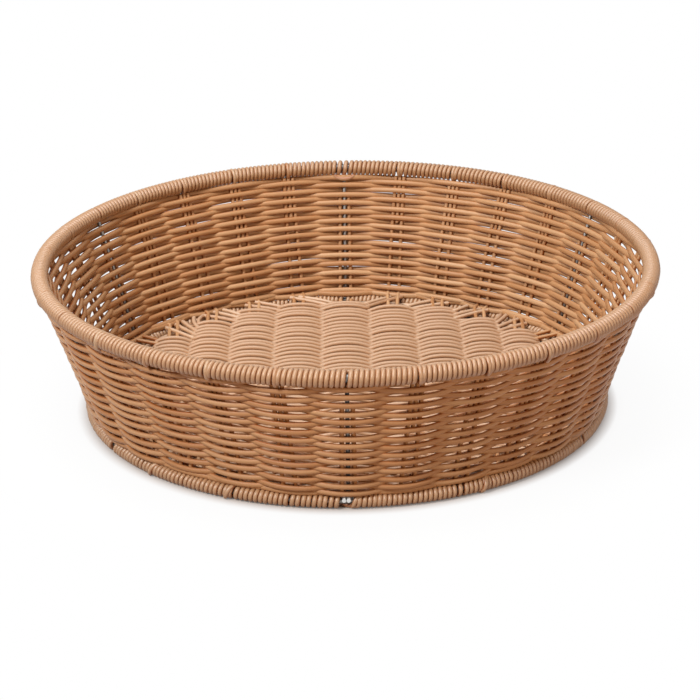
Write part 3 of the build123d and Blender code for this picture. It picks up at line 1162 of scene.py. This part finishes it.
# Painted shade: the floor under the basket, as the camera sees it, is painted darker and warm.
PAINTED_SHADE_UNDER = (0.42, 0.33, 0.26, 1)  # the floor under the basket as it is seen, warm from the cane round it
SHADE_TO, SOFT_TO, WHITE_FROM = 0.165, 0.176, 0.25  # metres from the middle
BLACK, SOFT_WHITE, WHITE = (0, 0, 0, 1), (0.95, 0.95, 0.95, 1), (1, 1, 1, 1)
FLOOR_ROUGH = 0.9


def seen_directly(tree):
    """1 for what the camera sees, straight or in a gloss, and 0 for light on its way."""
    rays = tree.nodes.new("ShaderNodeLightPath")
    seen = math_node(tree, "MAXIMUM", rays.outputs["Is Camera Ray"], rays.outputs["Is Glossy Ray"])
    return math_node(tree, "MAXIMUM", seen, rays.outputs["Is Transmission Ray"])


def floor_material():
    material, tree, shader = new_material("white_sweep")
    shader.inputs["Roughness"].default_value = FLOOR_ROUGH
    coords = tree.nodes.new("ShaderNodeTexCoord")
    far = tree.nodes.new("ShaderNodeVectorMath")
    far.operation = "LENGTH"
    join(tree, coords.outputs["Object"], far.inputs[0])
    clear = tree.nodes.new("ShaderNodeValToRGB")
    join(tree, far.outputs["Value"], clear.inputs["Fac"])
    ramp = clear.color_ramp
    ramp.elements[0].position, ramp.elements[0].color = SHADE_TO, BLACK
    ramp.elements[1].position, ramp.elements[1].color = SOFT_TO, SOFT_WHITE
    ramp.elements.new(WHITE_FROM).color = WHITE
    seen = seen_directly(tree)
    lit = math_node(tree, "MULTIPLY", seen, clear.outputs["Color"])
    # Painted shade: for the camera, the floor under the basket takes the darker warm colour.
    near = colour_mix(tree, seen, BOUNCE, PAINTED_SHADE_UNDER)
    join(tree, colour_mix(tree, lit, near, FLOOR_WHITE), shader.inputs["Base Color"])
    glow = tree.nodes.new("ShaderNodeEmission")
    mix = tree.nodes.new("ShaderNodeMixShader")
    join(tree, lit, mix.inputs["Fac"])
    join(tree, shader.outputs["BSDF"], mix.inputs[1])
    join(tree, glow.outputs["Emission"], mix.inputs[2])
    join(tree, mix.outputs["Shader"], tree.nodes["Material Output"].inputs["Surface"])
    return material


deselect()
bpy.ops.mesh.primitive_plane_add(size=FLOOR_SIZE, location=(0, 0, 0))
floor = bpy.context.object
floor.name = "floor"
floor.data.materials.append(floor_material())
print("floor:", FLOOR_SIZE, "m")

# %% [markdown]
# ## The light
# The highlights lie on top of the rim and on the left of the front, so there is one soft lamp above
# and one at the front left; a weak warm one keeps the right from going grey. The world is white where
# it is seen and dim where it lights, or it would wash the grooves out.

# %% Light
WORLD_LIGHT = (0.08, 0.05, 0.03, 1)
WARM = (1.0, 0.76, 0.54)


def soft_light(name, location, size, power, colour=(1, 1, 1)):
    bpy.ops.object.light_add(type="AREA", location=location)
    lamp = bpy.context.object
    lamp.name = name
    lamp.data.size = size
    lamp.data.energy = power
    lamp.data.color = colour
    lamp.rotation_euler = (-Vector(location)).to_track_quat("-Z", "Y").to_euler()
    return lamp


soft_light("top_light", (-0.2, 0.0, 2.0), size=0.8, power=23)
soft_light("front_left_light", (-1.25, -1.35, 1.75), size=0.55, power=49)
soft_light("right_fill", (1.3, -1.5, 0.6), size=0.8, power=10, colour=WARM)

world = bpy.data.worlds.new("studio")
bpy.context.scene.world = world
world.use_nodes = True
sky = world.node_tree
shine = colour_mix(sky, seen_directly(sky), WORLD_LIGHT, WHITE)
join(sky, shine, sky.nodes["Background"].inputs["Color"])

# %% [markdown]
# ## The camera
# The camera was fitted to the rim and the foot: it stands 1.4 m in front and 0.6 m up, and looks 22°
# down through a long lens. It could be aimed at a target; fixed angles keep the fit as it is.

# %% Camera
CAMERA_BACK = 1.3972
CAMERA_UP = 0.6021
LOOK_DOWN = 22.166  # degrees
ROLL = -0.785  # degrees
LENS = 119.65
SENSOR = 36.0
SIDE_SHIFT = 0.005

bpy.ops.object.camera_add(location=(0, -CAMERA_BACK, CAMERA_UP))
camera = bpy.context.object
turn = Matrix.Rotation(radians(90 - LOOK_DOWN), 4, "X") @ Matrix.Rotation(radians(ROLL), 4, "Z")
camera.rotation_euler = turn.to_euler()
camera.data.lens = LENS
camera.data.sensor_width = SENSOR
camera.data.shift_x = SIDE_SHIFT
bpy.context.scene.camera = camera
bpy.context.scene.view_settings.view_transform = "Standard"
print("camera:", [round(v, 3) for v in camera.location], LENS, "mm")
